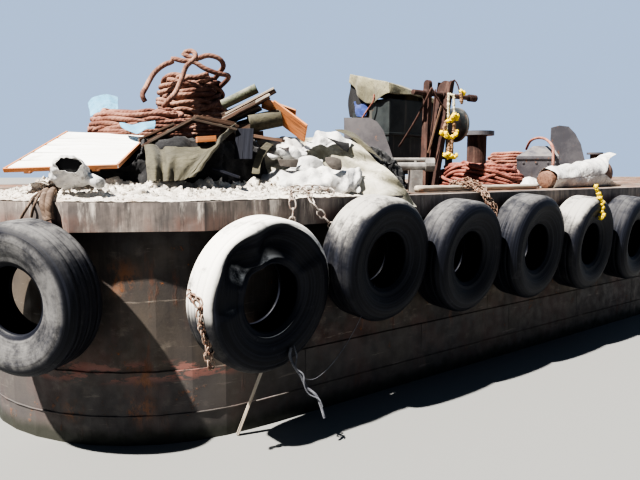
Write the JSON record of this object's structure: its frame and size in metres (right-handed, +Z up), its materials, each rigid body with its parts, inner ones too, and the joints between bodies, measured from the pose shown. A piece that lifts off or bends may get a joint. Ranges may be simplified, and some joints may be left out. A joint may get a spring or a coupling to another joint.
{
  "type": "flat-topped steel river barge with tyre fenders",
  "caption": "Flat-topped dumb steel river barge with round-cornered hull, edge rail, tyre fenders on chains, bitts, bollards, hinged tank hatches and deck gear.",
  "frame": {"origin": "on the bottom plating, under the middle of the barge", "axes": "+X to the bow, +Y to port, +Z up"},
  "size_m": [24.6936, 8.789, 3.9523],
  "materials": {
    "hull_steel": "weathered, rust-stained",
    "rusty_steel": "rusted",
    "plate": "worn grey paint",
    "rubber": "dusty",
    "rope": "frayed laid rope",
    "canvas": "faded tarpaulin",
    "white_paint": "chalky white paint",
    "wood": "weathered"
  },
  "bodies": {
    "barge": {"bitt_cross_pin": "rusty_steel", "bitt_post_a": "rusty_steel", "bitt_post_b": "rusty_steel", "bollard_aft_port": "rusty_steel", "bollard_aft_starboard": "rusty_steel", "bollard_fore_port": "rusty_steel", "bollard_fore_starboard": "rusty_steel", "cover_heap": "canvas", "deck_aft_plating": "hull_steel", "deck_fore_plating": "hull_steel", "deck_mid_plating": "hull_steel", "deck_pipes": "plate", "deck_pole": "wood", "deck_stringer_plate": "hull_steel", "dunnage_stack": "wood", "gear_under_tarpaulin": "canvas", "hatch_board": "white_paint", "hatch_coaming_aft": "rusty_steel", "hatch_coaming_fore": "rusty_steel", "hatch_coaming_middle": "rusty_steel", "hull_aft_block": "hull_steel", "hull_fore_block": "hull_steel", "hull_mid_block": "hull_steel", "rail_bow": "hull_steel", "rail_port": "hull_steel", "rail_starboard": "hull_steel", "rail_stern": "hull_steel", "rope_coil_fore": "rope", "rope_coil_second": "rope", "rope_heap_low": "rope", "rope_heap_tall": "rope", "steel_casing": "plate", "steel_plate": "plate", "tyre_port_1": "rubber", "tyre_port_2": "rubber", "tyre_port_3": "rubber", "tyre_port_4": "rubber", "tyre_port_5": "rubber", "tyre_port_6": "rubber", "tyre_port_7": "rubber", "tyre_port_8": "rubber", "tyre_port_9": "rubber", "tyre_port_corner": "rubber", "tyre_port_stern_corner": "rubber", "tyre_starboard_1": "rubber", "tyre_starboard_2": "rubber", "tyre_starboard_3": "rubber", "tyre_starboard_4": "rubber", "tyre_starboard_5": "rubber", "tyre_starboard_6": "rubber", "tyre_starboard_7": "rubber", "tyre_starboard_8": "rubber", "tyre_starboard_9": "rubber", "tyre_starboard_corner": "rubber", "tyre_starboard_stern_corner": "rubber", "winch_under_cover": "canvas", "wrapped_log": "wood"},
    "lid_fore": {"hatch_lid_fore": "plate"},
    "lid_middle": {"hatch_lid_middle": "plate"},
    "lid_aft": {"hatch_lid_aft": "plate"}
  },
  "joints": [
    {"name": "hatch_hinge_fore", "type": "hinge", "parent": "barge", "child": "lid_fore", "pos_m": [7.67, -0.546, 2.6296], "axis": [-1, 0, 0], "range_deg": [0, 110]},
    {"name": "hatch_hinge_middle", "type": "hinge", "parent": "barge", "child": "lid_middle", "pos_m": [-5.03, 2.254, 2.6296], "axis": [-1, 0, 0], "range_deg": [0, 110]},
    {"name": "hatch_hinge_aft", "type": "hinge", "parent": "barge", "child": "lid_aft", "pos_m": [-5.03, -1.546, 2.6296], "axis": [-1, 0, 0], "range_deg": [0, 110]}
  ]
}
